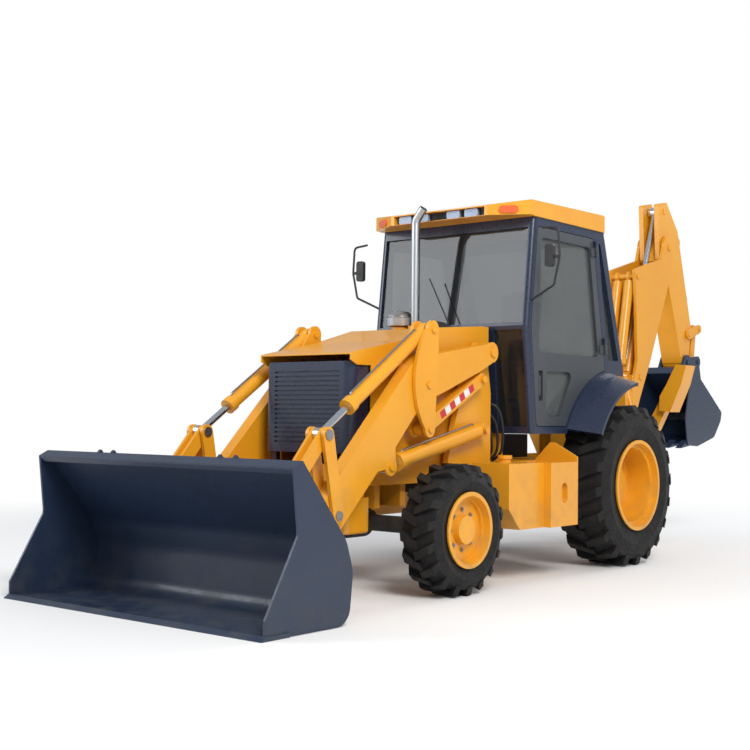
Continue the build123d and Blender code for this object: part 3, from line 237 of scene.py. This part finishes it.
finishes = {
    "chassis_frame": yellow, "hood": yellow, "grille": cabNavy, "engine_block": blackPaint,
    "exhaust_and_precleaner": stackSteel, "front_axle": blackPaint, "rear_axle": blackPaint,
    "cab_frame": cabNavy, "cab_glass": cabGlass, "cab_roof": yellow, "roof_lamps": workLamp,
    "mirrors": darkPlastic,
    "operator_seat": seatCloth, "cab_controls": darkPlastic, "step_boxes": yellow, "rear_frame": yellow,
    "loader_bucket": navy, "hoe_bucket": navy, "cab_door_left": frameGrey, "cab_door_right": frameGrey,
}
for name, node in nodes.items():
    if name in finishes:
        finish = finishes[name]
    elif "tyre" in name:
        finish = tyreRubber
    elif "_rod" in name:
        finish = chrome
    elif "pins" in name:
        finish = pinSteel
    elif "knuckle" in name:
        finish = blackPaint
    else:
        finish = yellow
    node.data.materials.clear()
    node.data.materials.append(finish)


def repaint(name, finish, chosen):  # a second finish on the faces whose corners all pass the test
    mesh = nodes[name].data
    mesh.materials.append(finish)
    index = len(mesh.materials) - 1
    count = 0
    for face in mesh.polygons:
        if all(chosen(nodes[name].matrix_world @ mesh.vertices[i].co) for i in face.vertices):
            face.material_index = index
            count += 1
    print("  ", name, finish.name, count, "faces")


# millimetres: where the doors' panes, the amber lamps and the back of the roof's lamp recess lie
faceValues = {"pane": (713.4, 720.6), "amber": 500, "recess": 1035, "recessHalf": 440.5, "slack": 1}


def onPane(v):
    low, high = faceValues["pane"]
    return low < 1000 * abs(v.x) < high


def onAmber(v):
    return 1000 * abs(v.x) > faceValues["amber"] and v.y < 0


def inRecess(v):
    away = 1000 * abs(v.y - at(0, faceValues["recess"], 0).y)
    return 1000 * abs(v.x) < faceValues["recessHalf"] and away < faceValues["slack"]


for side in ("left", "right"):
    repaint("cab_door_" + side, doorGlass, onPane)
repaint("roof_lamps", amber, onAmber)
repaint("cab_roof", darkPlastic, inRecess)
print("finishes on the solids")


def keep(piece, body, finish):
    bpy.context.scene.collection.objects.link(piece)
    piece.data.materials.append(finish)
    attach(piece, body)
    return piece


def makePipe(name, body, points, radius, finish):
    curve = bpy.data.curves.new(name, "CURVE")
    curve.dimensions = "3D"
    curve.bevel_depth = radius / 1000
    curve.bevel_resolution = 4
    curve.resolution_u = 10
    curve.use_fill_caps = True
    line = curve.splines.new("NURBS")
    line.points.add(len(points) - 1)
    for point, place in zip(line.points, points):
        point.co = (*at(*place), 1)
    line.order_u = 3
    line.use_endpoint_u = True
    return keep(bpy.data.objects.new(name, curve), body, finish)


# a plate between two planes across the machine, its corners as (behind, up)
def slab(bm, corners, x0, x1, index=0):
    low = [bm.verts.new(at(x0, *c)) for c in corners]
    high = [bm.verts.new(at(x1, *c)) for c in corners]
    count = len(corners)
    faces = [bm.faces.new(low), bm.faces.new(high[::-1])]
    for i in range(count):
        k = (i + 1) % count
        faces.append(bm.faces.new((low[k], low[i], high[i], high[k])))
    for face in faces:
        face.material_index = index


def meshPiece(name, bm):
    bmesh.ops.recalc_face_normals(bm, faces=bm.faces)
    mesh = bpy.data.meshes.new(name)
    bm.to_mesh(mesh)
    bm.free()
    return bpy.data.objects.new(name, mesh)


# pipes along the cylinder barrels, one to each end of the bore
pipeValues = {"radius": 7, "off": 12, "sunk": 6, "low": 95, "lowBend": 135, "highBend": 120, "high": 75}


def barrelPipe(name, body, base, tip, x, barrel, reach, side):
    dy, dz = tip[0] - base[0], tip[1] - base[1]
    length = (dy * dy + dz * dz) ** 0.5
    uy, uz = dy / length, dz / length
    ny, nz = -uz * side, uy * side

    def point(along, off):
        return (x, base[0] + along * uy + off * ny, base[1] + along * uz + off * nz)

    values = pipeValues
    sunk, clear = barrel - values["sunk"], barrel + values["off"]
    start, end = values["low"], reach - values["high"]
    makePipe(name, body, [point(start, sunk), point(start, clear), point(values["lowBend"], clear),
                          point(reach - values["highBend"], clear), point(end, clear), point(end, sunk)],
             values["radius"], pinSteel)


for side in (1, -1):
    hand = "left" if side > 0 else "right"
    barrelPipe("tilt_pipe_" + hand, "tilt_barrels", (95, 1809), (-995, 1080), side * 553, 48, 1000, -1)
    barrelPipe("lift_pipe_" + hand, "lift_barrels", (800, 1105), (-328, 862), side * 553, 54, 1040, -1)
barrelPipe("dipper_pipe", "dipper_barrel", (4110, 1600), (4700, 3300), 0, 50, 1100, 1)
barrelPipe("curl_pipe", "curl_barrel", (5092, 3032), (5475, 2150), 0, 44, 640, 1)
print("pipes on the cylinders")

# red and white tape on the outer faces of the levelling links
tapeValues = {"start": (759, 1479), "end": (65, 1110), "from": 0.16, "to": 0.74, "blocks": 7, "half": 27,
              "face": 588, "sunk": 0.2, "thick": 0.8}


def makeTape(values):
    bm = bmesh.new()
    dy, dz = values["end"][0] - values["start"][0], values["end"][1] - values["start"][1]
    length = (dy * dy + dz * dz) ** 0.5
    uy, uz = dy / length, dz / length
    step = (values["to"] - values["from"]) * length / values["blocks"]
    for side in (1, -1):
        for index in range(values["blocks"]):
            a = values["from"] * length + index * step
            corners = [(values["start"][0] + t * uy - o * uz, values["start"][1] + t * uz + o * uy)
                       for t, o in ((a, -values["half"]), (a + step, -values["half"]),
                                    (a + step, values["half"]), (a, values["half"]))]
            x = side * values["face"]
            slab(bm, corners, x - side * values["sunk"], x + side * values["thick"], index % 2)
    tape = keep(meshPiece("link_tape", bm), "levelling_links", tapeRed)
    tape.data.materials.append(tapeWhite)


makeTape(tapeValues)


# wheel nuts: one Geometry Nodes ring, a mesh to each wheel
def nutGroup():
    group = bpy.data.node_groups.new("ring of nuts", "GeometryNodeTree")
    inputs = {}
    for name, kind, value in (("Count", "NodeSocketInt", 8), ("Ring Radius", "NodeSocketFloat", 0.13),
                              ("Nut Radius", "NodeSocketFloat", 0.013),
                              ("Nut Length", "NodeSocketFloat", 0.02), ("Stud Share", "NodeSocketFloat", 0.5),
                              ("Stud Reach", "NodeSocketFloat", 1.7), ("Finish", "NodeSocketMaterial", None)):
        socket = group.interface.new_socket(name, in_out="INPUT", socket_type=kind)
        if value is not None:
            socket.default_value = value
        inputs[name] = socket.identifier
    group.interface.new_socket("Geometry", in_out="OUTPUT", socket_type="NodeSocketGeometry")
    add = group.nodes.new
    enter, leave = add("NodeGroupInput"), add("NodeGroupOutput")
    ring = add("GeometryNodeMeshCircle")
    nut, stud = add("GeometryNodeMeshCylinder"), add("GeometryNodeMeshCylinder")
    both, copies = add("GeometryNodeJoinGeometry"), add("GeometryNodeInstanceOnPoints")
    real, coat = add("GeometryNodeRealizeInstances"), add("GeometryNodeSetMaterial")
    thin = add("ShaderNodeMath")
    thin.operation = "MULTIPLY"
    tall = add("ShaderNodeMath")
    tall.operation = "MULTIPLY"
    nut.inputs["Vertices"].default_value = 6
    stud.inputs["Vertices"].default_value = 12
    join = group.links.new
    join(enter.outputs["Count"], ring.inputs["Vertices"])
    join(enter.outputs["Ring Radius"], ring.inputs["Radius"])
    join(enter.outputs["Nut Radius"], nut.inputs["Radius"])
    join(enter.outputs["Nut Length"], nut.inputs["Depth"])
    join(enter.outputs["Nut Radius"], thin.inputs[0])
    join(enter.outputs["Stud Share"], thin.inputs[1])
    join(thin.outputs[0], stud.inputs["Radius"])
    join(enter.outputs["Nut Length"], tall.inputs[0])
    join(enter.outputs["Stud Reach"], tall.inputs[1])
    join(tall.outputs[0], stud.inputs["Depth"])
    join(nut.outputs["Mesh"], both.inputs[0])
    join(stud.outputs["Mesh"], both.inputs[0])
    join(ring.outputs["Mesh"], copies.inputs["Points"])
    join(both.outputs[0], copies.inputs["Instance"])
    join(copies.outputs[0], real.inputs[0])
    join(real.outputs[0], coat.inputs["Geometry"])
    join(enter.outputs["Finish"], coat.inputs["Material"])
    join(coat.outputs[0], leave.inputs[0])
    return group, inputs


def makeNuts(name, body, centre, out, values, recipe):
    group, inputs = recipe
    holder = bpy.data.objects.new(name + "_maker", bpy.data.meshes.new(name + "_maker"))
    bpy.context.scene.collection.objects.link(holder)
    modifier = holder.modifiers.new("nuts", "NODES")
    modifier.node_group = group
    for key, value in values.items():
        modifier[inputs[key]] = value
    modifier[inputs["Finish"]] = pinSteel
    held = holder.evaluated_get(bpy.context.evaluated_depsgraph_get())
    mesh = bpy.data.meshes.new_from_object(held)
    bpy.data.objects.remove(holder)
    mesh.transform(Matrix.Translation(centre) @ Matrix.Rotation(out * pi / 2, 4, "Y"))
    mesh.name = name
    mesh.materials.clear()
    keep(bpy.data.objects.new(name, mesh), body, pinSteel)


recipe = nutGroup()
nutTable = [
    # wheels, behind the front axle, axle height, how far out the nuts' middle lies, values in metres
    ("front", 0, 444, 948, {"Count": 8, "Ring Radius": 0.135, "Nut Radius": 0.014, "Nut Length": 0.022}),
    ("rear", 2387, 655, 773.2, {"Count": 10, "Ring Radius": 0.186, "Nut Radius": 0.016, "Nut Length": 0.026}),
]
for wheel, behind, up, out, values in nutTable:
    for side in (1, -1):
        hand = "left" if side > 0 else "right"
        centre = at(side * out, behind, up)
        makeNuts(wheel + "_nuts_" + hand, wheel + "_wheel_" + hand, centre, side, values, recipe)
print("tape and wheel nuts")

# fixed hoses from the hood's left side down to the rail
hoseTable = [
    ("hose_a", [(414, 1000, 1230), (480, 1010, 1235), (505, 1080, 1150), (500, 1110, 1000), (470, 1120, 900),
                (398, 1120, 866)], 11),
    ("hose_b", [(414, 1030, 1300), (490, 1040, 1310), (535, 1090, 1240), (530, 1140, 1060), (490, 1160, 890),
                (398, 1160, 864)], 11),
    ("hose_c", [(414, 960, 1180), (465, 970, 1180), (482, 1020, 1120), (480, 1060, 1000), (455, 1080, 905),
                (398, 1080, 864)], 9),
]
for name, points, radius in hoseTable:
    makePipe(name, "chassis", points, radius, darkPlastic)

# wiper on the windshield
wiperValues = {"points": [(60, 1060, 1930), (-30, 1075, 2080), (-150, 1085, 2300)], "radius": 6}
makePipe("wiper_arm", "chassis", wiperValues["points"], wiperValues["radius"], darkPlastic)

# padded seat: cushions blown up as cloth from slightly smaller blocks
padValues = {"voxel": 0.011, "smooth": 6, "pressure": 4.0, "frames": 20, "cap": 0.016}
padTable = [
    # name, outline as (behind, up), half width
    ("seat_cushion", [(1722, 1560), (1722, 1636), (1760, 1650), (2068, 1650), (2068, 1560)], 228),
    ("seat_back", [(2108, 1668), (2172, 1668), (2262, 2276), (2206, 2276)], 208),
]


def blowUp(name, corners, half, values):
    bm = bmesh.new()
    slab(bm, corners, -half, half)
    piece = meshPiece(name, bm)
    bpy.context.scene.collection.objects.link(piece)
    remesh = piece.modifiers.new("voxels", "REMESH")
    remesh.mode = "VOXEL"
    remesh.voxel_size = values["voxel"]
    soft = piece.modifiers.new("soft", "SMOOTH")
    soft.iterations = values["smooth"]
    shaped = bpy.data.meshes.new_from_object(piece.evaluated_get(bpy.context.evaluated_depsgraph_get()))
    piece.modifiers.clear()
    piece.data = shaped
    start = [v.co.copy() for v in shaped.vertices]
    cloth = piece.modifiers.new("cloth", "CLOTH")
    cloth.settings.use_pressure = True
    cloth.settings.uniform_pressure_force = values["pressure"]
    cloth.settings.effector_weights.gravity = 0
    cloth.point_cache.frame_end = values["frames"]
    for frameNumber in range(1, values["frames"] + 1):
        bpy.context.scene.frame_set(frameNumber)
    blown = bpy.data.meshes.new_from_object(piece.evaluated_get(bpy.context.evaluated_depsgraph_get()))
    piece.modifiers.clear()
    bpy.context.scene.frame_set(1)
    for vertex, old in zip(blown.vertices, start):
        move = vertex.co - old
        if move.length > values["cap"]:
            vertex.co = old + move * (values["cap"] / move.length)
    for face in blown.polygons:
        face.use_smooth = True
    piece.data = blown
    blown.materials.append(seatCloth)
    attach(piece, "chassis")
    return piece


pads = [blowUp(name, corners, half, padValues) for name, corners, half in padTable]
baseTable = [
    # pedestal, pan and back plate: outline and half width
    ([(1790, 1126), (1790, 1480), (2110, 1480), (2110, 1126)], 180),
    ([(1715, 1480), (1715, 1556), (2075, 1556), (2075, 1480)], 235),
    ([(2090, 1540), (2106, 1660), (2204, 2280), (2216, 2280), (2176, 1660), (2160, 1500)], 90),
]
bm = bmesh.new()
for corners, half in baseTable:
    slab(bm, corners, -half, half)
seatBase = keep(meshPiece("seat_base", bm), "chassis", darkPlastic)
for piece in [*pads, seatBase]:
    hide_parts("operator_seat")
print("seat padded, hoses laid")

floorValues = {"half": 60, "color": (0.86, 0.86, 0.86, 1), "rough": 0.8, "fade": (4.0, 9.0)}
half = floorValues["half"]
floorMesh = bpy.data.meshes.new("floor")
floorCorners = [(-half, -half, 0), (half, -half, 0), (half, half, 0), (-half, half, 0)]
floorMesh.from_pydata(floorCorners, [], [(0, 1, 2, 3)])
floor = bpy.data.objects.new("floor", floorMesh)
bpy.context.scene.collection.objects.link(floor)


def floorFinish(values):
    material = bpy.data.materials.new("pale floor")
    material.use_nodes = True
    tree = material.node_tree
    shader = tree.nodes["Principled BSDF"]
    shader.inputs["Base Color"].default_value = values["color"]
    shader.inputs["Roughness"].default_value = values["rough"]
    # beyond the machine the floor runs out into the white ground
    place = tree.nodes.new("ShaderNodeTexCoord")
    away = tree.nodes.new("ShaderNodeVectorMath")
    away.operation = "LENGTH"
    share = tree.nodes.new("ShaderNodeMapRange")
    share.interpolation_type = "SMOOTHSTEP"
    share.inputs["From Min"].default_value, share.inputs["From Max"].default_value = values["fade"]
    glow = tree.nodes.new("ShaderNodeEmission")
    both = tree.nodes.new("ShaderNodeMixShader")
    tree.links.new(place.outputs["Object"], away.inputs[0])
    tree.links.new(away.outputs["Value"], share.inputs["Value"])
    tree.links.new(share.outputs["Result"], both.inputs[0])
    tree.links.new(shader.outputs[0], both.inputs[1])
    tree.links.new(glow.outputs[0], both.inputs[2])
    tree.links.new(both.outputs[0], tree.nodes["Material Output"].inputs["Surface"])
    return material


floorMesh.materials.append(floorFinish(floorValues))
worldValues = {"color": (0.90, 0.95, 1, 1), "strength": 0.50}


def makeWorld(values):
    world = bpy.data.worlds.new("studio")
    bpy.context.scene.world = world
    world.use_nodes = True
    tree = world.node_tree
    tree.nodes.clear()
    paths = tree.nodes.new("ShaderNodeLightPath")
    seen = tree.nodes.new("ShaderNodeMath")
    seen.operation = "MAXIMUM"
    tree.links.new(paths.outputs["Is Camera Ray"], seen.inputs[0])
    tree.links.new(paths.outputs["Is Transmission Ray"], seen.inputs[1])
    soft = tree.nodes.new("ShaderNodeBackground")
    soft.inputs["Color"].default_value = values["color"]
    soft.inputs["Strength"].default_value = values["strength"]
    white = tree.nodes.new("ShaderNodeBackground")
    white.inputs["Color"].default_value = (1, 1, 1, 1)
    white.inputs["Strength"].default_value = 1
    both = tree.nodes.new("ShaderNodeMixShader")
    tree.links.new(seen.outputs[0], both.inputs[0])
    tree.links.new(soft.outputs[0], both.inputs[1])
    tree.links.new(white.outputs[0], both.inputs[2])
    out = tree.nodes.new("ShaderNodeOutputWorld")
    tree.links.new(both.outputs[0], out.inputs[0])


makeWorld(worldValues)
aim = Vector((0, 0, 1.2))
lampTable = [
    # name, place, size, power, colour
    ("key", (9.0, -7.0, 9.0), 5.0, 1400, (1, 0.97, 0.93)),
    ("fill", (-8.0, -9.0, 6.0), 6.0, 500, (0.93, 0.96, 1)),
    ("back", (2.0, 10.0, 8.0), 5.0, 500, (1, 1, 1)),
]
for name, place, size, power, color in lampTable:
    data = bpy.data.lights.new(name, "AREA")
    data.size = size
    data.energy = power
    data.color = color
    lamp = bpy.data.objects.new(name, data)
    lamp.location = place
    lamp.rotation_euler = (aim - Vector(place)).to_track_quat("-Z", "Y").to_euler()
    bpy.context.scene.collection.objects.link(lamp)
bpy.context.scene.view_settings.view_transform = "Standard"
print("floor, light and camera set")
